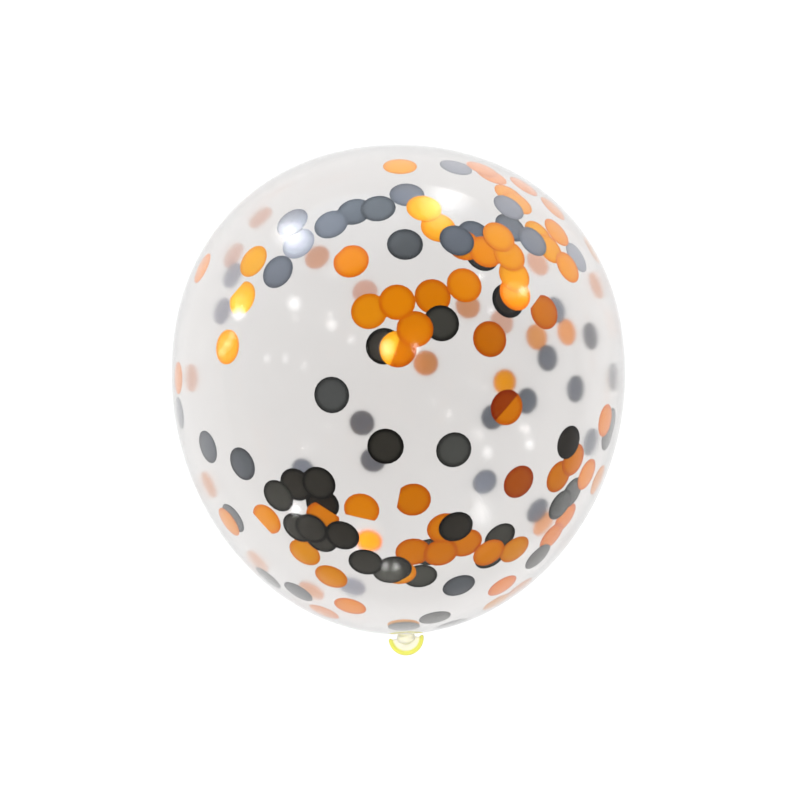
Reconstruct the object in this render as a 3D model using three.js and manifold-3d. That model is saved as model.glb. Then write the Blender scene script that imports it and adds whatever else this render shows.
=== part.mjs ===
// Confetti balloon: a round see-through latex balloon, blown up, tied, and lying on its side.
// Millimetres, +Z up. The crown points to +Y and the tied neck to -Y.
// The origin is on the surface that the balloon lies on, below the middle of its outline.
// The latex is one piece: bulb, drawn-in neck, knot, and the tail that fans out below the knot
// and ends in the rolled lip. It is sealed, so the bulb is a closed solid.

import * as THREE from 'three';
import { mergeVertices } from 'three/addons/utils/BufferGeometryUtils.js';
import Module from 'manifold-3d';

// Bulb: a widest ring, with a full crown on one side of it and a longer neck end on the other
const bulbRadius = 152.4;
const crownLength = 153.6;
const neckEndLength = 174.3;
const crownFullness = 2.17;
const neckEndFullness = 1.957;
const bulbSegments = 64;
const bulbRings = 40;

// Small flat spot under the widest ring, where the skin lies on the table
const flatSpotRadius = 25;

// Neck: the skin drawn in to a short stem, which leaves the bulb a little beside its axis
const neckOffset = 5.2;
const stemRadius = 4.2;
const neckFilletRadius = 3.4;
const neckSunkDepth = 2.3;
const neckFilletSteps = 6;
const neckSegments = 32;

// Knot: the neck wound once round itself, with one strand crossing over a core of bunched latex
const knotDrop = 5.4;
const knotRadius = 3.9;
const knotStrandRadius = 2.3;
const knotTilt = 17;
const knotCrossingTilt = -24;
const knotSegments = 24;
const knotStrandSides = 8;
const knotCoreSegments = 20;

// Tail: the flattened end of the neck, fanned out half a turn round the knot, with an open mouth
const tailReach = 10.9;
const tailRootReach = 2.6;
const tailHalfFan = 86;
const tailRootHalfHeight = 2.4;
const mouthHalfHeight = 3.0;
const mouthDepth = 7.2;
const tailWall = 0.8;
const tailLean = 7;
const tailDroop = 10;
const tailSteps = 4;
const tailSides = 36;

// Rolled lip along the mouth: a bead that is round except where it meets the tail's wall
const lipRadius = 1.3;
const lipHalfTurn = 160;
const lipSides = 8;

// Corners closer together than this are one corner
const mergeDistance = 1e-4;

const wasm = await Module();
wasm.setup();

const radians = THREE.MathUtils.degToRad;

// A three.js geometry as a solid: shared corners are merged and triangles with no area are dropped.
function solidOf(geometry) {
  const bare = geometry.clone();
  bare.deleteAttribute('normal');
  bare.deleteAttribute('uv');
  const merged = mergeVertices(bare, mergeDistance);
  const corners = merged.index.array;
  const kept = [];
  for (let i = 0; i < corners.length; i += 3) {
    const [a, b, c] = [corners[i], corners[i + 1], corners[i + 2]];
    if (a !== b && b !== c && c !== a) kept.push(a, b, c);
  }
  return new wasm.Manifold(new wasm.Mesh({
    numProp: 3,
    vertProperties: new Float32Array(merged.attributes.position.array),
    triVerts: new Uint32Array(kept),
  }));
}

// A solid back as a three.js geometry.
function geometryOf(solid) {
  const mesh = solid.getMesh();
  const geometry = new THREE.BufferGeometry();
  geometry.setAttribute('position', new THREE.BufferAttribute(mesh.vertProperties, 3));
  geometry.setIndex(new THREE.BufferAttribute(mesh.triVerts, 1));
  return geometry;
}

// Points of one quarter of a superellipse, from its pole on the axis to the widest ring.
function quarterProfile(length, fullness, steps) {
  const power = 2 / fullness;
  return Array.from({ length: steps + 1 }, (_, i) => {
    const angle = (i / steps) * (Math.PI / 2);
    return new THREE.Vector2(
      bulbRadius * Math.sin(angle) ** power,
      i === steps ? 0 : length * Math.cos(angle) ** power,
    );
  });
}

function bulb() {
  const half = bulbRings / 2;
  const crown = quarterProfile(crownLength, crownFullness, half);
  const neckEnd = quarterProfile(neckEndLength, neckEndFullness, half)
    .map((p) => new THREE.Vector2(p.x, -p.y));
  const profile = [...neckEnd, ...crown.reverse().slice(1)];
  return solidOf(new THREE.LatheGeometry(profile, bulbSegments));
}

// The drawn-in skin between the bulb and the knot. Its wide end is sunk a little into the bulb.
function neck() {
  const rim = stemRadius + neckFilletRadius;
  const rimShare = (rim + neckOffset) / bulbRadius;
  const bulbEnd = neckEndLength * (1 - rimShare ** neckEndFullness) ** (1 / neckEndFullness);
  const inside = bulbEnd - neckSunkDepth;
  const stemEnd = -neckEndLength - knotDrop;
  const profile = [new THREE.Vector2(0, stemEnd), new THREE.Vector2(stemRadius, stemEnd)];
  for (let i = neckFilletSteps; i >= 0; i -= 1) {
    const angle = (i / neckFilletSteps) * (Math.PI / 2);
    profile.push(new THREE.Vector2(
      rim - neckFilletRadius * Math.sin(angle),
      -bulbEnd - neckFilletRadius * (1 - Math.cos(angle)),
    ));
  }
  profile.push(new THREE.Vector2(rim, -inside), new THREE.Vector2(0, -inside));
  return solidOf(new THREE.LatheGeometry(profile, neckSegments));
}

// One turn of the neck round itself, tilted about the X axis and turned about the neck.
function knotTurn(tilt, turn) {
  const ring = new THREE.TorusGeometry(
    knotRadius,
    knotStrandRadius,
    knotStrandSides,
    knotSegments,
  );
  ring.rotateX(Math.PI / 2 + radians(tilt));
  ring.rotateY(radians(turn));
  return solidOf(ring);
}

// A point of the tail's skin. reach is the distance from the knot, way runs once round the
// flattened mouth, and inset is how far the point lies inside the outer face.
function tailPoint(reach, inset, way) {
  const share = (reach - tailRootReach) / (tailReach - tailRootReach);
  const halfHeight = THREE.MathUtils.lerp(tailRootHalfHeight, mouthHalfHeight, share) - inset;
  const fan = (radians(tailHalfFan) - inset / reach) * Math.cos(way);
  return new THREE.Vector3(
    reach * Math.sin(fan),
    -reach * Math.cos(fan),
    halfHeight * Math.sin(way),
  );
}

// The fanned tail as a closed cup: outer skin, rolled lip, inner skin, and a cap at each end.
function tail() {
  const section = [];
  const beadStart = tailReach - lipRadius;
  for (let i = 0; i < tailSteps; i += 1) {
    section.push([THREE.MathUtils.lerp(tailRootReach, beadStart, i / tailSteps), 0]);
  }
  for (let i = 0; i <= lipSides; i += 1) {
    const turn = radians(THREE.MathUtils.lerp(lipHalfTurn, -lipHalfTurn, i / lipSides));
    section.push([
      tailReach + lipRadius * Math.cos(turn),
      tailWall / 2 - lipRadius * Math.sin(turn),
    ]);
  }
  for (let i = 1; i <= tailSteps; i += 1) {
    section.push([THREE.MathUtils.lerp(beadStart, tailReach - mouthDepth, i / tailSteps), tailWall]);
  }
  const points = section.flatMap(([reach, inset]) => Array.from(
    { length: tailSides },
    (_, side) => tailPoint(reach, inset, (side / tailSides) * 2 * Math.PI),
  ));
  const corners = [];
  for (let loop = 0; loop < section.length - 1; loop += 1) {
    for (let side = 0; side < tailSides; side += 1) {
      const next = (side + 1) % tailSides;
      const [a, b] = [loop * tailSides + side, loop * tailSides + next];
      corners.push(a, b, a + tailSides, b, b + tailSides, a + tailSides);
    }
  }
  // Each cap is a fan of triangles round the middle of its loop.
  const lastLoop = (section.length - 1) * tailSides;
  for (const start of [0, lastLoop]) {
    const middle = points.length;
    const rim = points.slice(start, start + tailSides);
    const sum = rim.reduce((total, p) => total.add(p), new THREE.Vector3());
    points.push(sum.divideScalar(tailSides));
    for (let side = 0; side < tailSides; side += 1) {
      const [a, b] = [start + side, start + ((side + 1) % tailSides)];
      corners.push(middle, ...(start === 0 ? [b, a] : [a, b]));
    }
  }
  const geometry = new THREE.BufferGeometry().setFromPoints(points);
  geometry.setIndex(corners);
  return solidOf(geometry);
}

// Everything below the bulb, with the knot's middle where the stem ends.
function tiedEnd() {
  const coreRadius = knotRadius + knotStrandRadius / 2;
  const core = new THREE.SphereGeometry(coreRadius, knotCoreSegments, knotCoreSegments / 2);
  const turns = knotTurn(knotTilt, 0).add(knotTurn(knotCrossingTilt, 90)).add(solidOf(core));
  const hanging = tail().rotate([tailDroop, 0, tailLean]);
  return turns.add(hanging).translate([0, -neckEndLength - knotDrop + knotStrandRadius / 2, 0]);
}

// What the table takes away: a box below it, wider than the balloon.
function belowTable(level) {
  const size = 4 * bulbRadius;
  const box = new THREE.BoxGeometry(size, size, size);
  box.translate(0, 0, level - size / 2);
  return solidOf(box);
}

const tableLevel = -Math.sqrt(bulbRadius ** 2 - flatSpotRadius ** 2);
const latex = bulb()
  .add(neck().add(tiedEnd()).translate([neckOffset, 0, 0]))
  .subtract(belowTable(tableLevel));

const clearLatex = new THREE.MeshStandardMaterial({
  color: 0xe8e6e2,
  roughness: 0.12,
  metalness: 0,
});

const balloon = new THREE.Mesh(geometryOf(latex), clearLatex);
balloon.name = 'latex_balloon';
balloon.geometry.computeBoundingBox();
const { min, max } = balloon.geometry.boundingBox;
balloon.position.set(0, -(min.y + max.y) / 2, -tableLevel);

const group = new THREE.Group();
group.add(balloon);

export default group;
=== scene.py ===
# %% [markdown]
# A confetti balloon
#
# The balloon is one skin of clear latex, blown up and tied, with loose foil discs inside that
# cling to the skin. It lies on its side with the crown towards +Y, and the camera looks straight
# down on it, so that in the picture the crown is up and the knot is down.
# It could be one ball with dots painted on it. Here every disc is a piece of its own behind a
# clear skin, so that near and far discs pass each other when the camera moves.
# The frame gives the balloon's solid at its real size and place. The looks are built around it.

# %% Load the frame
import math
import random

import bpy
from mathutils import Matrix, Vector


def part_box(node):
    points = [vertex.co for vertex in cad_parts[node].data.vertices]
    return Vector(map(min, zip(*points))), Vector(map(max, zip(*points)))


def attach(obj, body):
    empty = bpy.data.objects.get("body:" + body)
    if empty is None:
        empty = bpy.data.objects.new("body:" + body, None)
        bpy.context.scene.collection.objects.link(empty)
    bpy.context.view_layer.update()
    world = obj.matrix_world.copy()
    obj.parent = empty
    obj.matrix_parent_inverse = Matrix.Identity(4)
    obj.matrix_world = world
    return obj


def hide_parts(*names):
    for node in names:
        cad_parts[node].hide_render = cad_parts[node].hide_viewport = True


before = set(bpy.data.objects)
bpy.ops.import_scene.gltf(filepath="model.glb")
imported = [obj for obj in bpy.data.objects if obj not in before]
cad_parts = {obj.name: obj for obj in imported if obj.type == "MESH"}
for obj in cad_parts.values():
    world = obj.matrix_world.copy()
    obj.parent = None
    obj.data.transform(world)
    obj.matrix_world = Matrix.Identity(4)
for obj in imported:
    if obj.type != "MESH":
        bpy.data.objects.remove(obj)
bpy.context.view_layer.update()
low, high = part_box("latex_balloon")
print("balloon solid, mm:", [round(1000 * (b - a), 1) for a, b in zip(low, high)])

# %% [markdown]
# Sizes
#
# All lengths are in metres. The bulb is a solid of revolution about the Y axis: a widest ring, a
# full crown on one side of it and a longer neck end on the other. Each half follows a
# superellipse, which is an ellipse whose power may differ from 2. Its place comes from the frame:
# the crown touches the high Y side of the solid's box, and the table is at Z = 0.

# %% Sizes of the bulb
MM = 0.001
bulb_radius = 152.4 * MM
crown_length = 153.6 * MM
neck_end_length = 174.3 * MM
crown_fullness = 2.17
neck_end_fullness = 1.957
flat_spot_radius = 25 * MM
skin_wall = 0.3 * MM

axis_height = math.sqrt(bulb_radius**2 - flat_spot_radius**2)
widest = Vector((0, high[1] - crown_length, axis_height))
print("widest ring at", [round(1000 * c, 1) for c in widest], "mm")

# %% [markdown]
# Camera
#
# The picture is 800 pixels square. The outline and the sizes of the nearest and farthest confetti
# in the photograph fix how far away the camera is and how long its lens is. The camera comes
# before the confetti, because each disc is put where the line of sight through its own place in
# the photograph meets the skin. The discs could be scattered at random instead, but then none of
# them would lie where the real one does.

# %% Set the camera
picture_size = 800
sensor_width = 36.0
lens_length = 51.8
camera_distance = 788 * MM
camera_aside = 1.1 * MM
camera_below_widest = 16.3 * MM

camera_data = bpy.data.cameras.new("camera")
camera_data.sensor_width = sensor_width
camera_data.lens = lens_length
camera = bpy.data.objects.new("camera", camera_data)
camera.location = widest + Vector((camera_aside, -camera_below_widest, camera_distance))
bpy.context.scene.collection.objects.link(camera)
bpy.context.scene.camera = camera

pixels_per_slope = lens_length / sensor_width * picture_size


def sight_line(across, down):
    """The direction in which the camera sees a pixel of the photograph."""
    right = (across - picture_size / 2) / pixels_per_slope
    up = (picture_size / 2 - down) / pixels_per_slope
    return Vector((right, up, -1)).normalized()


# %% [markdown]
# Small helpers
#
# An operator acts on whatever is selected, so each step first selects its own piece and nothing
# else. A finished piece's place and turn go into its mesh, so that patterns and exports find it
# where it is.


# %% Helpers to select, finish and start a material
def only(*pieces):
    """Selects these pieces and makes the first one active."""
    bpy.ops.object.select_all(action="DESELECT")
    for piece in pieces:
        piece.select_set(True)
    bpy.context.view_layer.objects.active = pieces[0]


def apply_all(piece):
    """Applies every modifier of a piece, in order."""
    only(piece)
    for modifier in list(piece.modifiers):
        bpy.ops.object.modifier_apply(modifier=modifier.name)


def set_down(piece):
    """Moves a piece's place and turn into its mesh, so that its object sits at the origin."""
    only(piece)
    bpy.ops.object.transform_apply(location=True, rotation=True, scale=True)


def new_material(name):
    """A material with one Principled shader. Returns the material, its nodes and its links."""
    material = bpy.data.materials.new(name)
    material.use_nodes = True
    tree = material.node_tree
    return material, tree.nodes, tree.links


# %% [markdown]
# The bulb's skin
#
# The skin is a stretched bag, nearly a ball, with a fuller crown and a neck end that runs out
# longer. A stretched sphere would come close, but the two halves don't have the same fullness.
# So the section through both poles is drawn as a chain of edges and spun about the axis, as a
# potter turns a bowl. Spinning welds nothing by itself, so doubled points are merged, and the
# normals are made to point outwards before the wall gets its thickness.


# %% Draw the section
half_section_steps = 60


def section_points(radius, crown, neck_end):
    """The bulb's section from the crown pole to the neck pole, as points beside the axis."""
    points = []
    steps = half_section_steps
    for length, fullness, side in ((crown, crown_fullness, 1), (neck_end, neck_end_fullness, -1)):
        for step in range(steps + 1):
            turn = math.pi / 2 * step / steps
            out = radius * math.sin(turn) ** (2 / fullness)
            along = length * math.cos(turn) ** (2 / fullness) if step < steps else 0.0
            points.append((out, side * along))
    quarter = steps + 1
    return points[:quarter] + points[quarter : 2 * quarter - 1][::-1]


def draw_chain(name, points):
    """One vertex at the first point, extruded from point to point."""
    bpy.ops.object.select_all(action="DESELECT")
    bpy.ops.mesh.primitive_circle_add(vertices=3, radius=MM, location=(0, 0, 0))
    chain = bpy.context.object
    chain.name = name
    bpy.ops.object.mode_set(mode="EDIT")
    bpy.ops.mesh.select_all(action="SELECT")
    bpy.ops.mesh.merge(type="CENTER")
    bpy.ops.transform.translate(value=points[0])
    for start, end in zip(points, points[1:]):
        bpy.ops.mesh.extrude_region_move(TRANSFORM_OT_translate={"value": end - start})
    bpy.ops.object.mode_set(mode="OBJECT")
    return chain


# %% Spin the bulb
spin_steps = 240
weld_distance = 0.01 * MM


def spin_bulb(name, inset):
    """A closed bulb whose surface lies inset inside the balloon's outer surface."""
    points = section_points(bulb_radius - inset, crown_length - inset, neck_end_length - inset)
    piece = draw_chain(name, [Vector((out, along, 0)) for out, along in points])
    bpy.ops.object.mode_set(mode="EDIT")
    bpy.ops.mesh.select_all(action="SELECT")
    bpy.ops.mesh.spin(steps=spin_steps, angle=2 * math.pi, center=(0, 0, 0), axis=(0, 1, 0))
    bpy.ops.mesh.select_all(action="SELECT")
    bpy.ops.mesh.remove_doubles(threshold=weld_distance)
    bpy.ops.mesh.normals_make_consistent(inside=False)
    bpy.ops.object.mode_set(mode="OBJECT")
    piece.location = widest
    set_down(piece)
    return piece


skin = spin_bulb("clear_skin", 0)
print("skin before its wall:", len(skin.data.polygons), "faces")

# %% [markdown]
# The flat spot
#
# Where the balloon lies on the table its soft skin is pressed flat. The lowest points could be
# moved up one by one, but a single cut gives a clean round edge: Bisect at the table's level takes
# the lowest bit off and fills the hole with a flat face.
# A second bulb, smaller by the skin's wall, gets the same cut. It is the lining: it never shows,
# but lines of sight are cast on it and the discs are bent to it.


# %% Flatten the underside
cut_threshold = 0.001 * MM


def flatten_below(piece, level):
    """Cuts a closed piece at a level and closes the cut with a flat face."""
    only(piece)
    bpy.ops.object.mode_set(mode="EDIT")
    bpy.ops.mesh.select_all(action="SELECT")
    bpy.ops.mesh.bisect(
        plane_co=(0, 0, level),
        plane_no=(0, 0, 1),
        use_fill=True,
        clear_inner=True,
        threshold=cut_threshold,
    )
    bpy.ops.object.mode_set(mode="OBJECT")


flatten_below(skin, 0)
lining = spin_bulb("lining", skin_wall)
flatten_below(lining, skin_wall)
only(lining)
bpy.ops.object.shade_smooth()
print("lining:", len(lining.data.polygons), "faces")

# %% [markdown]
# The skin's wall
#
# Light bends at each face of a clear thing, so a skin with no thickness would look like a solid
# ball of glass. Solidify adds an inner face. It goes inwards, because the outer one already lies
# where the balloon's solid has it.

# %% Give the skin its wall
crisp_angle = math.radians(30)
only(skin)
bpy.ops.object.shade_smooth_by_angle(angle=crisp_angle)
wall = skin.modifiers.new("wall", "SOLIDIFY")
wall.thickness = skin_wall
wall.offset = -1
wall.use_even_offset = True
apply_all(skin)
print("skin with its wall:", len(skin.data.polygons), "faces")

# %% [markdown]
# Clear latex
#
# Clear latex is not as clear as glass. It passes most light straight on, blurs it a little, and
# scatters some of it like thin milk, so the far confetti looks paler than the near. The milk could
# be a volume in the wall, but that renders slowly. So the shader has only the blur and a slight
# tint, and the milky light is painted into the far discs as paler tones, a painted haze.
# Lamps' light passes straight through to the confetti inside, which saves the renderer from
# searching for it through the curved walls.

# %% Clear latex
latex, nodes, links = new_material("clear_latex")
shader = nodes["Principled BSDF"]
shader.inputs["Base Color"].default_value = (0.855, 0.844, 0.836, 1)
shader.inputs["Roughness"].default_value = 0.09
shader.inputs["IOR"].default_value = 1.28
shader.inputs["Transmission Weight"].default_value = 1.0
shader.inputs["Sheen Weight"].default_value = 0.05
shader.inputs["Sheen Roughness"].default_value = 0.4
ray = nodes.new("ShaderNodeLightPath")
through = nodes.new("ShaderNodeBsdfTransparent")
through.inputs["Color"].default_value = (0.95, 0.945, 0.94, 1)
choice = nodes.new("ShaderNodeMixShader")
links.new(ray.outputs["Is Shadow Ray"], choice.inputs["Fac"])
links.new(shader.outputs["BSDF"], choice.inputs[1])
links.new(through.outputs["BSDF"], choice.inputs[2])
links.new(choice.outputs["Shader"], nodes["Material Output"].inputs["Surface"])
skin.data.materials.append(latex)

# %% [markdown]
# Confetti
#
# Each disc is punched from foil, a little over 20 mm across. It could be painted on the skin, but
# real discs overlap, fold and show both sides. One disc is modelled: a filled circle, poked so
# that it has a corner in its middle too and can bend. Every other disc is a copy with its own
# mesh, and the foil's thickness comes last.
# Each corner knows how far out it lies, for the rim's painted shade, and each face has a tone,
# which also carries painted light and shade.

# %% Model one disc
disc_radius = 10.3 * MM
disc_corners = 20
foil_thickness = 0.08 * MM
level_step = 0.22 * MM
first_gap = 0.12 * MM

bpy.ops.object.select_all(action="DESELECT")
bpy.ops.mesh.primitive_circle_add(
    vertices=disc_corners, radius=disc_radius, fill_type="NGON", location=(0, 0, 0)
)
disc_model = bpy.context.object
disc_model.name = "disc_model"
bpy.ops.object.mode_set(mode="EDIT")
bpy.ops.mesh.select_all(action="SELECT")
bpy.ops.mesh.poke()
bpy.ops.object.mode_set(mode="OBJECT")
outward_share = disc_model.data.attributes.new("outward_share", "FLOAT", "POINT")
for point in disc_model.data.vertices:
    outward_share.data[point.index].value = point.co.length / disc_radius
disc_model.data.attributes.new("tone_and_painted_light", "FLOAT", "FACE")
print("one disc:", len(disc_model.data.polygons), "faces")


# %% [markdown]
# A place on the skin
#
# A disc that clings to the near skin lies where the line of sight through its middle first meets
# the lining, and a far one where the same line meets it again. The places could be worked out
# from the superellipses, but a ray cast at the mesh also finds the flat spot.


# %% Find a place on the skin
def skin_point(across, down, far):
    """Where a line of sight meets the lining: the place and the outward normal there."""
    middle = picture_size / 2
    while True:
        direction = sight_line(across, down)
        hit, place, normal, _ = lining.ray_cast(camera.location, direction)
        if hit:
            break
        # A place just outside the outline is moved towards the picture's middle
        across += (middle - across) / middle
        down += (middle - down) / middle
    if far:
        _, place, normal, _ = lining.ray_cast(place + direction * MM, direction)
    return place, normal


# %% [markdown]
# Folded discs
#
# A few discs were folded when the balloon was filled. A folded one could be drawn as a shape of
# its own, but it is easier to do what happened to the real one: Bisect cuts it along a chord, and
# the part beyond the chord, the flap, is turned over to its inner side. A creased disc has its
# flap turned only a little.


# %% Fold a disc
full_fold = 178
on_the_crease = 0.01 * MM


def fold_disc(disc, share, angle):
    """Turns the part of a flat disc beyond a chord to its inner side and returns the rest's
    points. share is how far the chord is from the middle, in disc radii."""
    chord = share * disc_radius
    only(disc)
    bpy.ops.object.mode_set(mode="EDIT")
    bpy.ops.mesh.select_all(action="SELECT")
    bpy.ops.mesh.bisect(plane_co=(chord, 0, 0), plane_no=(1, 0, 0), threshold=cut_threshold)
    bpy.ops.mesh.select_all(action="DESELECT")
    bpy.ops.object.mode_set(mode="OBJECT")
    for point in disc.data.vertices:
        point.select = point.co.x > chord + on_the_crease
    bpy.ops.object.mode_set(mode="EDIT")
    bpy.ops.transform.rotate(
        value=-math.radians(angle),
        orient_axis="Y",
        orient_type="GLOBAL",
        center_override=(chord, 0, 0),
    )
    bpy.ops.object.mode_set(mode="OBJECT")
    return [point.index for point in disc.data.vertices if not point.select]


# %% [markdown]
# A disc on the skin
#
# Foil is held to the latex by static and follows its curve. A copy of the disc is set tangent to
# the inner side of the skin, and a Shrinkwrap modifier bends it to the lining. Where discs
# overlap, each deeper one lies one level further from the skin, so that none cuts another.
# A flap folded over shows the foil's back, which looks duller. A creased disc's flap gets the
# same darkening as painted shade.


# %% Lay a disc on the skin
flap_back_and_painted_shade = 0.65


def hug(disc, points, depth):
    """Bends these points of a disc to the skin's curve, at a depth below its inner side."""
    group = disc.vertex_groups.new(name="hugging")
    group.add(points, 1.0, "REPLACE")
    wrap = disc.modifiers.new("hug", "SHRINKWRAP")
    wrap.target = lining
    wrap.vertex_group = group.name
    wrap.wrap_method = "NEAREST_SURFACEPOINT"
    wrap.wrap_mode = "ABOVE_SURFACE"
    wrap.offset = -depth
    apply_all(disc)


def lay_disc(name, place, outward, level, tone_and_painted_light, fold):
    """A copy of the disc, laid at a place on the inner side of the skin, level by level below it.
    A fold gives the way that the flap points, in degrees, how far out its chord is, in radii, and
    also an angle where the disc is only creased."""
    disc = disc_model.copy()
    disc.data = disc_model.data.copy()
    disc.name = name
    bpy.context.scene.collection.objects.link(disc)
    towards, share, angle = fold if len(fold) == 3 else (*fold, full_fold)
    flat = fold_disc(disc, share, angle)
    flap = [point.index for point in disc.data.vertices if point.index not in flat]
    for face in disc.data.polygons:
        # A flap's faces are darkened: where it is folded over this is the foil's duller back, where
        # it is only creased it is painted shade of the half that leans away.
        back_and_painted_shade = flap_back_and_painted_shade if set(face.vertices) & set(flap) else 0
        disc.data.attributes["tone_and_painted_light"].data[face.index].value = tone_and_painted_light - back_and_painted_shade
    right = (Vector((1, 0, 0)) - outward * outward.x).normalized()
    axes = Matrix((right, outward.cross(right), outward)).transposed().to_4x4()
    turn = Matrix.Rotation(math.radians(towards), 4, "Z")
    depth = first_gap + level * level_step
    disc.matrix_world = Matrix.Translation(place - outward * depth) @ axes @ turn
    set_down(disc)
    hug(disc, flat, depth)
    if flap:
        hug(disc, flap, depth + level_step * (angle > 90))
    return disc


# %% [markdown]
# Where the discs lie
#
# The discs on the near side were counted and placed in the photograph, and so were those
# on the far side, which look smaller and paler.
# Each entry is the middle of a disc, across and down in pixels. Then come, where they matter: its
# order under others (0 lies outermost), its tone and its fold. A tone is 0 for a dull disc, 0.5
# for a usual one, 1 for a bright one and 2 for one that looks quite pale. The tones paint light
# into the foil: low ones are partly painted shade, bright and washed ones painted highlights,
# reflections and veil, and pale ones painted haze of the skin.
# A fold gives the way that the flap points, in degrees, and how far the fold is from the disc's
# middle, in radii. A third number is the angle of a crease that doesn't turn the flap over.
# A fold 2 radii out cuts nothing.

# %% Places of the discs
no_fold = (0, 2)
orange_near = [
    (400, 166, 0, 1.05), (482, 168, 1, 1.35), (492, 175, 2, 1.35), (524, 186, 0, 1.25),
    (510, 194, 2, 1.1), (518, 202, 1, 1.1), (553, 208, 0, 1.15), (592, 250, 0, 0.85),
    (351, 261, 0, 0.45, (135, 0.92)), (253, 261, 0, 0.95), (242, 298, 0, 1.0, (125, 0.75)),
    (227, 347, 0, 0.85), (202, 268, 0, 1.15), (178, 378, 0, 1.15), (424, 208, 0, 0.9),
    (438.5, 227, 1, 0.8), (464, 244, 5, 0.5), (486, 251, 4, 0.5), (499, 236.5, 0, 0.65),
    (510, 255, 1, 0.65), (515, 275, 2, 0.75), (516, 293, 3, 0.5), (539, 234, 2, 0.9),
    (550, 248, 1, 0.8), (557, 232, 0, 0.75), (568, 267, 0, 0.7), (464.5, 285, 0, 0.5),
    (433, 296, 2, 0.42), (397, 302, 0, 0.5), (369, 311, 1, 0.6), (415, 329, 0, 0.42),
    (398, 349, 1, 0.95, (-20, -0.1, 10)), (490, 339, 0, 0.27), (544.5, 312, 0, 0.27, (140, 0.8)),
    (507, 407.5, 0, 0.38, (135, 0.0, 12)), (519, 482, 0, 0.08), (361.5, 509.5, 0, 0.5, (-100, 0.55)),
    (413, 500, 0, 0.38, (170, 0.8)), (266.5, 519.3, 0, 0.62, (-127, 0.6)),
    (322, 518, 2, 0.4, (62, 0.64)), (304, 553.5, 2, 0.72), (331, 577, 0, 0.65),
    (350, 606.5, 0, 0.6), (228.5, 522, 0, 0.8), (444.5, 528.5, 1, 0.42), (413, 553, 2, 0.36),
    (441, 553.5, 1, 0.36), (466, 544, 2, 0.36), (489, 553, 0, 0.5), (515, 550, 1, 0.65),
    (399, 574, 2, 0.7), (502.5, 586, 0, 0.5), (574, 460, 1, 0.4), (559.5, 477, 2, 0.42),
    (587, 474.5, 1, 0.62), (605.5, 420.5, 0, 0.6), (598, 480, 0, 0.9), (566, 518, 4, 0.48),
    (552, 537, 2, 0.45), (324, 612, 0, 1.2), (403.5, 625, 1, 1.0), (497, 602, 0, 1.0),
    (520, 588, 0, 1.4),
]
black_near = [
    (331, 224, 0, 1.12), (354, 211, 1, 0.9), (378, 208, 0, 0.8), (405, 244, 0, 0.75),
    (407, 194, 1, 1.2), (456, 167, 0, 1.5), (292, 222, 0, 1.35), (298, 243, 1, 1.35),
    (277.5, 271.5, 0, 1.15), (457, 240, 0, 1.0), (475, 234, 6, 1.0), (483, 254, 6),
    (509, 207, 0, 1.45), (511, 227, 3, 1.1), (533, 241, 0, 1.3), (577, 257, 1, 1.6),
    (509, 300, 4, 0.0), (384, 346, 2, 0.1), (441.5, 323, 1, 0.3), (331.5, 395, 0, 0.65),
    (385.5, 446.5, 0, 0.18), (454, 450, 0, 0.58), (569, 442.5, 0, 0.0), (207.5, 447, 0, 1.0),
    (242, 464, 0, 0.95), (278, 496, 0, 0.3), (295.5, 485, 1, 0.1), (318.5, 483.5, 0, 0.15),
    (321.5, 505, 3, 0.0), (298, 528, 1, 0.2), (311, 529, 0, 0.15), (321, 539, 1, 0.2),
    (342, 536, 0, 0.1), (365.5, 562.5, 0, 0.2), (389.5, 572, 0, 0.45), (394.5, 569.5, 1, 0.2),
    (420.5, 578, 4, 0.5), (456, 527, 0, 0.1), (430, 553.5, 3), (500.5, 538, 2, 0.3),
    (491, 557, 3), (459, 586, 0, 0.95), (435, 618, 0, 0.3), (404, 627, 0, 0.35),
    (452, 624, 1, 0.1), (538, 557, 0, 0.25), (572.5, 493, 3, 0.6), (560.5, 505, 2, 0.6),
    (611, 424, 1, 0.6), (608.5, 435, 2, 0.65), (232.5, 518.5, 1, 0.9), (268, 578, 0, 0.3),
    (298, 592, 0, 0.8), (179.5, 413, 0, 1.2),
]
# The far discs' high tones are painted haze of the skin in front of them.
orange_far = [
    (317, 257, 0, 1.55), (260, 217, 0, 2.0), (233, 255, 0, 2.0), (191, 378, 0, 1.9),
    (538, 263, 0, 1.6), (597, 285, 0, 1.5), (468, 306, 0, 1.35), (426, 363, 0, 1.2),
    (537, 337, 0, 1.18), (567, 332, 0, 1.2), (505, 382, 0, 0.7), (502, 322, 0, 1.7),
    (369, 541, 0, 0.3), (544, 524, 0, 1.3), (311, 591, 0, 1.5), (208, 485, 0, 1.6),
    (257, 562, 0, 1.7), (365, 292, 0, 1.9),
]
black_far = [
    (232, 275, 1, 1.95), (222, 311, 0, 1.95), (548, 358, 0, 1.15), (576, 389, 0, 1.2),
    (591, 336, 0, 1.2), (527, 401, 0, 1.0), (493, 417, 0, 1.1), (362, 423, 0, 1.2),
    (373, 460, 0, 1.2), (485, 482, 0, 1.2), (538, 511, 1, 1.25), (591, 442, 0, 1.3),
    (303, 471, 0, 1.3), (352, 587, 0, 1.75), (614, 377, 0, 1.2), (556, 310, 0, 1.4),
]


# %% [markdown]
# Laying and joining
#
# Discs pile up inside the skin, and a level could be written down for each. It is easier to say
# only which of them lie under others: the discs of one side are sorted by that order, and each is
# laid one level below the deepest disc that it may touch. Then the discs of each foil become one
# piece per side, because they share a material and never move apart.


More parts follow.
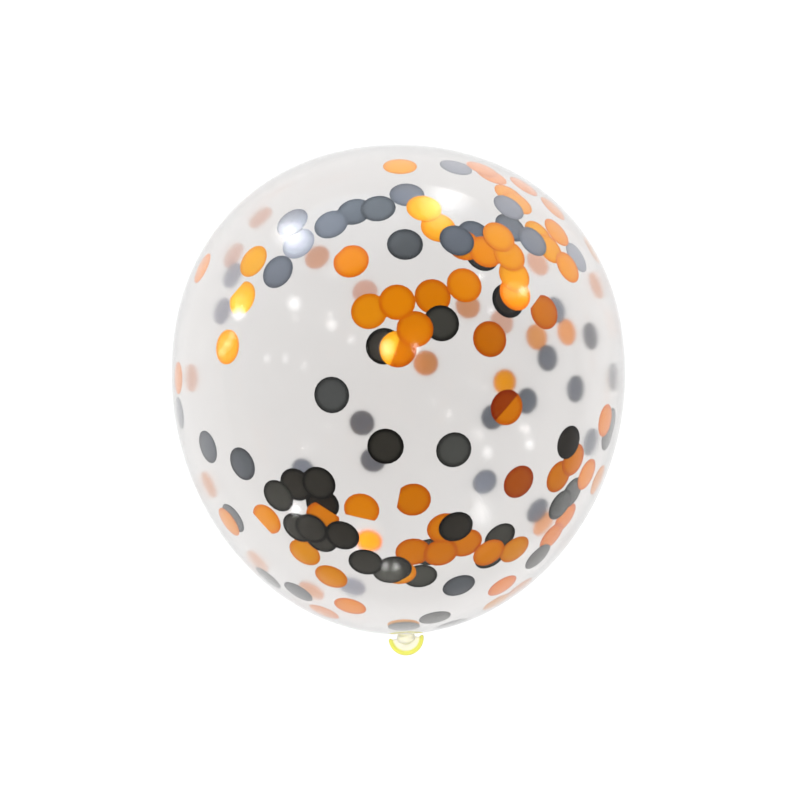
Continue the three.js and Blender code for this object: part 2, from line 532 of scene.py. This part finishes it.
# %% Lay the discs of one side
def lay_side(side, places_by_foil, usual_tones, far):
    """Lays the discs on one side of the balloon, each below all that it overlaps, and joins the
    discs of each foil into one piece."""
    draw = random.Random(side)
    waiting = []
    for foil, places in places_by_foil.items():
        for across, down, *rest in places:
            usual = [0, draw.uniform(*usual_tones[foil]), no_fold]
            order, tone_and_painted_light, fold = rest + usual[len(rest) :]
            waiting.append((order, foil, skin_point(across, down, far), tone_and_painted_light, fold))
    waiting.sort(key=lambda entry: entry[0])
    laid = []
    discs = {foil: [] for foil in places_by_foil}
    for _, foil, (place, outward), tone_and_painted_light, fold in waiting:
        over = [level for other, level in laid if (other - place).length < 2 * disc_radius]
        level = max(over, default=-1) + 1
        name = f"{foil}_{side}_{len(discs[foil])}"
        discs[foil].append(lay_disc(name, place, outward, level, tone_and_painted_light, fold))
        laid.append((place, level + (fold[1] < 1)))
    print(side, "side:", len(laid), "discs, lying up to", max(level for _, level in laid), "deep")
    return {foil: join_discs(f"{foil}_{side}", discs[foil], far) for foil in discs}


# %% Join discs
# Far discs carry painted haze in their tone; the side that faces the skin is held down to this tone,
# without the haze.
unhazed_skin_side_tone = 0.6


def join_discs(name, discs, far):
    """One piece of all these discs, with the foil's thickness. The far ones carry painted haze in
    the tone of the side that faces the camera, and keep their full colour on the side at the skin."""
    only(*discs)
    bpy.ops.object.join()
    piece = discs[0]
    piece.name = name
    body = piece.modifiers.new("body", "SOLIDIFY")
    body.thickness = foil_thickness
    body.offset = 0
    apply_all(piece)
    bpy.ops.object.shade_smooth_by_angle(angle=crisp_angle)
    if far:
        tones = piece.data.attributes["tone_and_painted_light"].data
        for face in piece.data.polygons:
            if face.normal.dot(face.center - widest) > 0:
                tones[face.index].value = min(tones[face.index].value, unhazed_skin_side_tone)
    print(name, len(discs), "discs,", len(piece.data.polygons), "faces")
    return piece


# %% Make the confetti
near_lists = {"orange_confetti": orange_near, "black_confetti": black_near}
far_lists = {"orange_confetti": orange_far, "black_confetti": black_far}
near_tones = {"orange_confetti": (0.35, 0.52), "black_confetti": (0.3, 0.6)}
far_tones = {"orange_confetti": (0.5, 0.7), "black_confetti": (0.9, 1.0)}
sides = (
    lay_side("near", near_lists, near_tones, far=False),
    lay_side("far", far_lists, far_tones, far=True),
)

# %% [markdown]
# Foil
#
# The orange foil is a metal film with a coloured lacquer, and the black one a dark gloss film.
# Both are a little crinkled, and no two discs have quite one tone. The tones also carry painted
# light and shade: painted highlights and reflections on bright discs, painted haze of the skin on
# pale ones and painted shade on some dull ones, and the rim is darkened as painted shade. A
# material for each tone would be a long list. One material per foil reads the tone that each face
# carries and turns it into a colour with a ramp, and reads how far out each corner lies to darken
# the rim. A pale disc has less of a rim, as if seen through mist.


# %% Foil material
rim_from = 0.68
rim_full = 0.92
foil_gloss = 0.25
crinkle_scale = 90
crinkle_strength = 0.25
crinkle_height = 0.5 * MM


def foil_material(
    name, dull_and_painted_shade, usual, bright_painted_light, washed_painted_veil, pale_painted_haze, rim_shade, gloss_tint, metallic, roughness
):
    """A foil whose colour runs from dull to pale by disc, with painted shade at the dull end and
    painted light and haze towards the pale end, and gets darker along the rim as painted shade.
    """
    material, nodes, links = new_material(name)
    shader = nodes["Principled BSDF"]
    shader.inputs["Metallic"].default_value = metallic
    shader.inputs["Roughness"].default_value = roughness
    shader.inputs["Specular IOR Level"].default_value = foil_gloss
    shader.inputs["Specular Tint"].default_value = (*gloss_tint, 1)
    # Painted light and shade: the tone ramp's low stops also hold painted shade, its bright stop
    # painted highlights and reflections, its washed and pale stops painted haze of the skin.
    tone_and_painted_light = nodes.new("ShaderNodeAttribute")
    tone_and_painted_light.attribute_name = "tone_and_painted_light"
    by_tone = nodes.new("ShaderNodeValToRGB")
    by_tone.color_ramp.elements[0].color = (*dull_and_painted_shade, 1)
    by_tone.color_ramp.elements[1].color = (*pale_painted_haze, 1)
    by_tone.color_ramp.elements.new(0.25).color = (*usual, 1)
    by_tone.color_ramp.elements.new(0.5).color = (*bright_painted_light, 1)
    by_tone.color_ramp.elements.new(0.6).color = (*washed_painted_veil, 1)
    half = nodes.new("ShaderNodeMath")
    half.operation = "MULTIPLY"
    half.inputs[1].default_value = 0.5
    links.new(tone_and_painted_light.outputs["Fac"], half.inputs[0])
    links.new(half.outputs["Value"], by_tone.inputs["Fac"])
    # Painted shade along the rim: the colour darkens towards each disc's edge, less on pale discs
    # under their painted haze.
    rim_value = nodes.new("ShaderNodeAttribute")
    rim_value.attribute_name = "outward_share"
    rim_band = nodes.new("ShaderNodeMapRange")
    rim_band.interpolation_type = "SMOOTHSTEP"
    rim_band.inputs["From Min"].default_value = rim_from
    rim_band.inputs["From Max"].default_value = rim_full
    links.new(rim_value.outputs["Fac"], rim_band.inputs["Value"])
    fading = nodes.new("ShaderNodeMath")
    fading.operation = "SUBTRACT"
    fading.use_clamp = True
    fading.inputs[0].default_value = 1
    links.new(half.outputs["Value"], fading.inputs[1])
    rim = nodes.new("ShaderNodeMath")
    rim.operation = "MULTIPLY"
    links.new(rim_band.outputs["Result"], rim.inputs[0])
    links.new(fading.outputs["Value"], rim.inputs[1])
    darken = nodes.new("ShaderNodeMix")
    darken.data_type = "RGBA"
    darken.blend_type = "MULTIPLY"
    darken.inputs["B"].default_value = (*rim_shade, 1)
    links.new(rim.outputs["Value"], darken.inputs["Factor"])
    links.new(by_tone.outputs["Color"], darken.inputs["A"])
    links.new(darken.outputs["Result"], shader.inputs["Base Color"])
    place = nodes.new("ShaderNodeTexCoord")
    crinkle = nodes.new("ShaderNodeTexNoise")
    crinkle.inputs["Scale"].default_value = crinkle_scale
    crinkle.inputs["Detail"].default_value = 2
    bump = nodes.new("ShaderNodeBump")
    bump.inputs["Strength"].default_value = crinkle_strength
    bump.inputs["Distance"].default_value = crinkle_height
    links.new(place.outputs["Object"], crinkle.inputs["Vector"])
    links.new(crinkle.outputs["Fac"], bump.inputs["Height"])
    links.new(bump.outputs["Normal"], shader.inputs["Normal"])
    return material


# %% The two foils
# The orange foil's bright stop is yellower: painted light of a glint.
orange_foil = foil_material(
    "orange_foil",
    dull_and_painted_shade=(0.42, 0.06, 0.0),
    usual=(1.0, 0.32, 0.0),
    bright_painted_light=(1.0, 0.5, 0.02),
    washed_painted_veil=(1.0, 0.44, 0.17),
    pale_painted_haze=(1.0, 0.74, 0.68),
    rim_shade=(0.8, 0.5, 0.4),
    gloss_tint=(1.0, 0.5, 0.1),
    metallic=0.55,
    roughness=0.22,
)
# The black foil's lighter stops are bluish: painted reflection of the bluish window light.
black_foil = foil_material(
    "black_foil",
    dull_and_painted_shade=(0.02, 0.015, 0.01),
    usual=(0.09, 0.092, 0.08),
    bright_painted_light=(0.14, 0.155, 0.18),
    washed_painted_veil=(0.22, 0.235, 0.27),
    pale_painted_haze=(0.55, 0.57, 0.65),
    rim_shade=(0.1, 0.1, 0.1),
    gloss_tint=(1.0, 1.0, 1.0),
    metallic=0.5,
    roughness=0.25,
)
for side in sides:
    side["orange_confetti"].data.materials.append(orange_foil)
    side["black_confetti"].data.materials.append(black_foil)

# %% [markdown]
# Neck, knot and tail
#
# The skin is drawn in to a short stem, wound into a knot, and its flattened end fans out below
# the knot with a rolled lip round its mouth. Here the latex is bunched and not stretched, so it
# is thick and yellow. One mesh for all of it would be hard to shape, so stem, turns and tail are
# modelled apart, and a voxel remesh melts them into one body with soft creases, as the real
# rubber has. The sizes are those of the balloon's solid.

# %% Sizes of the tied end
neck_offset = 5.2 * MM
stem_radius = 4.2 * MM
neck_fillet = 3.4 * MM
knot_drop = 5.4 * MM
knot_radius = 3.9 * MM
strand_radius = 2.3 * MM
tail_reach = 10.9 * MM
tail_root_reach = 2.6 * MM
tail_half_fan = math.radians(86)
tail_wall = 0.8 * MM
lip_radius = 1.3 * MM
mouth_half_height = 3.0 * MM
mouth_depth = 7.2 * MM
tail_root_half_height = 2.4 * MM
tail_lean = math.radians(7)
tail_droop = math.radians(10)

pole = widest + Vector((neck_offset, -neck_end_length, 0))
knot_middle = pole + Vector((0, -knot_drop + strand_radius / 2, 0))
print("knot at", [round(1000 * c, 1) for c in knot_middle], "mm")

# %% [markdown]
# The knot
#
# The neck is wound once round itself, and one strand crosses over. A curve with a thickness could
# follow the whole strand, but so little of it shows that two tilted rings and a core between
# them, of bunched latex, do as well.


# %% Model the knot's turns and core
def add_ring(tilt, turn):
    """One turn of the knot, tilted about X and turned about the neck."""
    bpy.ops.object.select_all(action="DESELECT")
    bpy.ops.mesh.primitive_torus_add(
        major_radius=knot_radius,
        minor_radius=strand_radius,
        major_segments=40,
        minor_segments=16,
        location=(0, 0, 0),
    )
    ring = bpy.context.object
    turned = Matrix.Rotation(math.radians(turn), 4, "Y")
    tilted = Matrix.Rotation(math.pi / 2 + math.radians(tilt), 4, "X")
    ring.matrix_world = Matrix.Translation(knot_middle) @ turned @ tilted
    set_down(ring)
    return ring


def add_core():
    """The bunched latex inside the knot."""
    bpy.ops.object.select_all(action="DESELECT")
    bpy.ops.mesh.primitive_ico_sphere_add(
        subdivisions=4, radius=knot_radius + strand_radius / 2, location=knot_middle
    )
    core = bpy.context.object
    set_down(core)
    return core


# %% [markdown]
# The stem
#
# Where the neck leaves the bulb, the skin runs in along a small round flare. It is a circle,
# extruded up the neck and widened a little at each step along a quarter turn, as a lathe hand
# would cut a fillet.

# %% Model the stem
flare_steps = 6
into_bulb = 1 * MM


def add_stem():
    """The stem, flared towards the bulb: a circle extruded and widened in edit mode."""
    bpy.ops.object.select_all(action="DESELECT")
    bpy.ops.mesh.primitive_circle_add(
        vertices=40, radius=stem_radius, fill_type="NGON", location=(0, 0, 0)
    )
    stem = bpy.context.object
    stem.matrix_world = Matrix.Translation(knot_middle) @ Matrix.Rotation(-math.pi / 2, 4, "X")
    set_down(stem)
    bpy.ops.object.mode_set(mode="EDIT")
    bpy.ops.mesh.select_all(action="SELECT")
    straight = pole.y - knot_middle.y - neck_fillet
    bpy.ops.mesh.extrude_region_move(TRANSFORM_OT_translate={"value": (0, straight, 0)})
    radius = stem_radius
    for step in range(1, flare_steps + 1):
        turn = math.pi / 2 * step / flare_steps
        before = math.pi / 2 * (step - 1) / flare_steps
        rise = neck_fillet * (math.sin(turn) - math.sin(before))
        wider = stem_radius + neck_fillet * (1 - math.cos(turn))
        bpy.ops.mesh.extrude_region_move(TRANSFORM_OT_translate={"value": (0, rise, 0)})
        grow = wider / radius
        bpy.ops.transform.resize(
            value=(grow, 1, grow), center_override=(knot_middle.x, 0, knot_middle.z)
        )
        radius = wider
    bpy.ops.mesh.extrude_region_move(TRANSFORM_OT_translate={"value": (0, into_bulb, 0)})
    bpy.ops.mesh.select_all(action="SELECT")
    bpy.ops.mesh.normals_make_consistent(inside=False)
    bpy.ops.object.mode_set(mode="OBJECT")
    return stem


# %% [markdown]
# The tail
#
# The end of the neck is a tube pressed flat and fanned out round the knot, with an open mouth and
# the balloon's rolled lip. Modelled in its fanned shape it would need every point placed. So it
# is made straight first, with the mouth inset and sunk and a thick round edge laid along it, and
# then a Bend modifier curls it round the knot.

# %% Model the tail
mouth_corners = 96


def add_tail():
    """The tail: a flattened tube with a hollow mouth and a rolled lip, bent round the knot."""
    half_width = tail_reach * tail_half_fan
    length = tail_reach - tail_root_reach
    stand = (math.pi / 2, 0, 0)
    bpy.ops.object.select_all(action="DESELECT")
    bpy.ops.mesh.primitive_circle_add(
        vertices=mouth_corners,
        radius=1,
        fill_type="NGON",
        location=(0, length, 0),
        rotation=stand,
    )
    tube = bpy.context.object
    set_down(tube)
    bpy.ops.object.mode_set(mode="EDIT")
    bpy.ops.mesh.select_all(action="SELECT")
    middle = (0, length, 0)
    bpy.ops.transform.resize(
        value=(half_width, 1, tail_root_half_height), center_override=middle
    )
    bpy.ops.mesh.extrude_region_move(TRANSFORM_OT_translate={"value": (0, -length, 0)})
    grow = mouth_half_height / tail_root_half_height
    bpy.ops.transform.resize(value=(1, 1, grow), center_override=(0, 0, 0))
    bpy.ops.mesh.inset(thickness=tail_wall, depth=0)
    bpy.ops.mesh.extrude_region_move(TRANSFORM_OT_translate={"value": (0, mouth_depth, 0)})
    bpy.ops.mesh.select_all(action="SELECT")
    bpy.ops.mesh.normals_make_consistent(inside=False)
    bpy.ops.object.mode_set(mode="OBJECT")

    bpy.ops.object.select_all(action="DESELECT")
    bpy.ops.mesh.primitive_circle_add(
        vertices=mouth_corners, radius=1, location=(0, 0, 0), rotation=stand
    )
    lip = bpy.context.object
    lip.scale = (half_width - tail_wall / 2, mouth_half_height - tail_wall / 2, 1)
    set_down(lip)
    bpy.ops.object.convert(target="CURVE")
    lip = bpy.context.object
    lip.data.bevel_depth = lip_radius
    lip.data.bevel_resolution = 4
    bpy.ops.object.convert(target="MESH")
    lip = bpy.context.object

    only(tube, lip)
    bpy.ops.object.join()
    fan = tube.modifiers.new("fan", "SIMPLE_DEFORM")
    fan.deform_method = "BEND"
    fan.deform_axis = "Z"
    fan.angle = tube.dimensions.x / tail_reach
    apply_all(tube)
    print("fanned tail, mm:", [round(1000 * side, 1) for side in tube.dimensions])
    to_knot = Matrix.Translation((0, -tail_reach, 0))
    lean = Matrix.Rotation(tail_lean, 4, "Z")
    droop = Matrix.Rotation(tail_droop, 4, "X")
    tube.matrix_world = Matrix.Translation(knot_middle) @ lean @ droop @ to_knot
    set_down(tube)
    return tube


# %% Melt the tied end into one body
knot_tilt = 17
crossing_tilt = -24
crossing_turn = 90
tied_parts = [
    add_tail(),
    add_ring(knot_tilt, 0),
    add_ring(crossing_tilt, crossing_turn),
    add_stem(),
    add_core(),
]
only(*tied_parts)
bpy.ops.object.join()
tied_end = tied_parts[0]
tied_end.name = "neck_and_knot"
melt = tied_end.modifiers.new("melt", "REMESH")
melt.mode = "VOXEL"
melt.voxel_size = 0.3 * MM
apply_all(tied_end)
ease = tied_end.modifiers.new("ease", "SMOOTH")
ease.factor = 0.5
ease.iterations = 4
apply_all(tied_end)
only(tied_end)
bpy.ops.object.shade_smooth()
print("neck and knot:", len(tied_end.data.polygons), "faces")

# %% [markdown]
# Thick latex
#
# Bunched latex is translucent and lemon-yellow where it is thickest, along the lip and in the
# knot, and cream on the thin wall of the tail. Two materials would meet in a hard line, so one
# colour ramp follows the distance from the knot. Subsurface light makes it look soft.

# %% Thick latex
thick, nodes, links = new_material("thick_latex")
shader = nodes["Principled BSDF"]
place = nodes.new("ShaderNodeTexCoord")
from_knot = nodes.new("ShaderNodeVectorMath")
from_knot.operation = "DISTANCE"
from_knot.inputs[1].default_value = knot_middle
links.new(place.outputs["Object"], from_knot.inputs[0])
zones = nodes.new("ShaderNodeValToRGB")
to_share = nodes.new("ShaderNodeMath")
to_share.operation = "DIVIDE"
to_share.inputs[1].default_value = tail_reach + lip_radius
links.new(from_knot.outputs["Value"], to_share.inputs[0])
links.new(to_share.outputs["Value"], zones.inputs["Fac"])
lemon = (0.6, 0.59, 0.11, 1)
cream = (0.67, 0.65, 0.52, 1)
ramp = zones.color_ramp
ramp.elements[0].position = 0.3
ramp.elements[0].color = lemon
ramp.elements[1].position = 0.45
ramp.elements[1].color = cream
for position, colour in ((0.7, cream), (0.8, lemon)):
    element = ramp.elements.new(position)
    element.color = colour
links.new(zones.outputs["Color"], shader.inputs["Base Color"])
shader.inputs["Roughness"].default_value = 0.35
shader.inputs["Subsurface Weight"].default_value = 0.5
shader.inputs["Subsurface Radius"].default_value = (1, 0.9, 0.3)
shader.inputs["Subsurface Scale"].default_value = 2 * MM
tied_end.data.materials.append(thick)

# %% [markdown]
# Floor
#
# The floor is a pale table top that glows a little, as in a product photograph, so that it stays
# white. Lamps alone could light it white, but they would wash out the balloon too.
# Beyond the picture's edge its glow fades towards the neck, or the floor's reflection would veil
# the confetti there. It lies a hair below the balloon, so that the two faces don't coincide.

# %% Floor
floor_radius = 5.0
floor_corners = 128
floor_gap = 0.2 * MM
floor_grey = 0.2
floor_glow = 0.82
dim_way = (0.5, -0.87, 0)
bright_as_far_as = 0.46
dim_from = 0.95
dim_share = 0.24

bpy.ops.object.select_all(action="DESELECT")
bpy.ops.mesh.primitive_circle_add(
    vertices=floor_corners, radius=floor_radius, fill_type="NGON", location=(0, 0, -floor_gap)
)
floor = bpy.context.object
floor.name = "floor"
floor_material, nodes, links = new_material("floor_paint")
shader = nodes["Principled BSDF"]
shader.inputs["Base Color"].default_value = (floor_grey, floor_grey, floor_grey, 1)
shader.inputs["Roughness"].default_value = 0.9
shader.inputs["Specular IOR Level"].default_value = 0.0
shader.inputs["Emission Strength"].default_value = floor_glow
place = nodes.new("ShaderNodeTexCoord")
along = nodes.new("ShaderNodeVectorMath")
along.operation = "DOT_PRODUCT"
along.inputs[1].default_value = dim_way
glow_share = nodes.new("ShaderNodeMapRange")
glow_share.interpolation_type = "SMOOTHSTEP"
glow_share.inputs["From Min"].default_value = bright_as_far_as
glow_share.inputs["From Max"].default_value = dim_from
glow_share.inputs["To Min"].default_value = 1.0
glow_share.inputs["To Max"].default_value = dim_share
links.new(place.outputs["Object"], along.inputs[0])
links.new(along.outputs["Value"], glow_share.inputs["Value"])
links.new(glow_share.outputs["Result"], shader.inputs["Emission Color"])
floor.data.materials.append(floor_material)

# %% [markdown]
# World
#
# The room around the table is what the balloon mirrors. A picture of a room could do it, but a
# blend of three plain colours by direction is enough: dim towards the neck, bright and bluish
# towards the crown, as from a window, and dark overhead, which keeps the middle of the balloon
# clear.

# %% World
neck_horizon = (0.6, 0.588, 0.57, 1)
crown_horizon = (1.0, 1.15, 1.36, 1)
overhead_colour = (0.15, 0.145, 0.14, 1)
overhead_from = 0.8
neck_side = -0.2
crown_side = 0.7

world = bpy.data.worlds.new("studio")
bpy.context.scene.world = world
world.use_nodes = True
nodes, links = world.node_tree.nodes, world.node_tree.links
direction = nodes.new("ShaderNodeTexCoord")
split = nodes.new("ShaderNodeSeparateXYZ")
height = nodes.new("ShaderNodeMapRange")
height.inputs["From Max"].default_value = overhead_from
side = nodes.new("ShaderNodeMapRange")
side.inputs["From Min"].default_value = neck_side
side.inputs["From Max"].default_value = crown_side
horizon = nodes.new("ShaderNodeMix")
horizon.data_type = "RGBA"
horizon.inputs["A"].default_value = neck_horizon
horizon.inputs["B"].default_value = crown_horizon
sky = nodes.new("ShaderNodeMix")
sky.data_type = "RGBA"
sky.inputs["B"].default_value = overhead_colour
links.new(direction.outputs["Generated"], split.inputs["Vector"])
links.new(split.outputs["Z"], height.inputs["Value"])
links.new(split.outputs["Y"], side.inputs["Value"])
links.new(side.outputs["Result"], horizon.inputs["Factor"])
links.new(horizon.outputs["Result"], sky.inputs["A"])
links.new(height.outputs["Result"], sky.inputs["Factor"])
links.new(sky.outputs["Result"], nodes["Background"].inputs["Color"])
nodes["Background"].inputs["Strength"].default_value = 1.0


# %% [markdown]
# Lamps
#
# Each small white spot on a glossy balloon is the mirror image of a lamp. The spots could be
# painted on, but then they would stick to the skin when the camera moves. So a lamp is put where
# the line of sight through that spot is mirrored to. A large soft spot has rings of light inside
# each other, so that it fades outwards.


# %% A lamp and a lamp seen in the skin
lamp_distance = 1.5
lamp_floor_share = 0.3
ring_gap = MM


def add_lamp(name, place, target, half_width, half_height, radiance, colour=(1, 1, 1)):
    """An elliptic lamp of a given radiance that faces a target."""
    data = bpy.data.lights.new(name, "AREA")
    data.shape = "ELLIPSE"
    data.size = 2 * half_width
    data.size_y = 2 * half_height
    data.energy = radiance * math.pi * math.pi * half_width * half_height
    data.color = colour
    lamp = bpy.data.objects.new(name, data)
    lamp.location = place
    lamp.rotation_euler = (target - place).to_track_quat("-Z", "Y").to_euler()
    lamp.visible_camera = False
    bpy.context.scene.collection.objects.link(lamp)
    return lamp


def mirrored_lamp(name, across, down, spot_radius, radiance, rings):
    """A lamp whose mirror image on the near skin is seen at a pixel, with a radius in pixels."""
    direction = sight_line(across, down)
    _, place, normal, _ = lining.ray_cast(camera.location, direction)
    bounced = direction.reflect(normal)
    distance = lamp_distance
    if bounced.z < 0:
        # The mirror direction points down here, so the lamp stands above the floor it would hit
        distance = min(distance, lamp_floor_share * place.z / -bounced.z)
    depth = (camera.location - place).z
    radius = distance * 2 * spot_radius * depth / pixels_per_slope / bulb_radius
    # Skin that leans away from the camera squashes the image, so the lamp is narrow and tall
    lean = -direction.dot(normal)
    for ring in range(rings):
        lamp_place = place + bounced * (distance - ring * ring_gap)
        share = radius * (rings - ring) / rings
        part = radiance * (ring + 1) / (rings * (rings + 1) / 2)
        add_lamp(f"{name}_{ring}", lamp_place, place, share * lean, share / lean, part)


# %% [markdown]
# Where the spots lie
#
# Each entry is a spot's middle, across and down in pixels, its radius in pixels and how bright its
# lamp is. The glows are large and soft, the dots small, and the last ones shine on single discs.

# %% Places of the spots
glows = [(450, 200, 40, 9), (293, 233, 25, 15), (481, 515, 18, 4)]
dots = [
    (293, 301, 10, 19), (331, 323, 8, 15), (351, 337, 6, 10), (493, 310, 5, 10), (522, 290, 7, 20),
    (390, 350, 4, 14), (415, 346, 5, 14), (240, 311, 8, 30), (485, 452, 8, 13), (531, 444, 7, 13),
    (298, 511, 7, 25), (265, 361, 5, 10), (287, 361, 5, 10), (305, 364, 5, 7),
    (386, 564, 5, 16), (397, 566, 5, 16), (232, 338, 4, 12), (228, 346, 4, 12), (224, 354, 4, 12),
]
foil_glints = [
    (387, 348, 8, 7), (416, 346, 5, 4), (427, 206, 13, 1.1), (438, 224, 10, 1.0),
    (512, 290, 10, 1.8), (242, 300, 7, 1.2), (227, 347, 6, 0.6),
]
glow_rings = 8
dot_rings = 3
for rings, spots in ((glow_rings, glows), (dot_rings, dots), (1, foil_glints)):
    for across, down, spot_radius, radiance in spots:
        name = f"spot_{across}_{down}_{rings}"
        mirrored_lamp(name, across, down, spot_radius, radiance, rings)
print(len(glows) + len(dots) + len(foil_glints), "spots")

# %% [markdown]
# Window and fill
#
# The foil needs light of its own. A bluish lamp beyond the crown stands for a window. A wide one
# overhead lights all discs evenly, and it is hidden from reflections, where it would lie as a
# white veil over the middle of the balloon.

# %% Window and fill
window_place = widest + Vector((-0.5, 1.2, 0.5))
window_radius = 0.6
window_radiance = 0.7
window_colour = (0.8, 0.9, 1.0)
add_lamp(
    "window", window_place, widest, window_radius, window_radius, window_radiance, window_colour
)
fill_place = widest + Vector((0, 0, 2.4))
fill_radius = 1.2
fill_radiance = 6.5
fill = add_lamp("fill", fill_place, widest, fill_radius, fill_radius, fill_radiance)
fill.visible_glossy = False
fill.visible_transmission = False

# %% [markdown]
# Finish
#
# The near and far confetti, the skin and the tied end all belong to the one body, so each is
# parented to an empty that stands for it, and the frame's solid is hidden. The helpers that were
# only needed for modelling go away.

# %% Tie the pieces to the frame and finish
for helper in (lining, disc_model):
    bpy.data.objects.remove(helper)

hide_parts("latex_balloon")
for piece in (skin, tied_end, *sides[0].values(), *sides[1].values()):
    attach(piece, "root")

scene = bpy.context.scene
scene.view_settings.view_transform = "Standard"
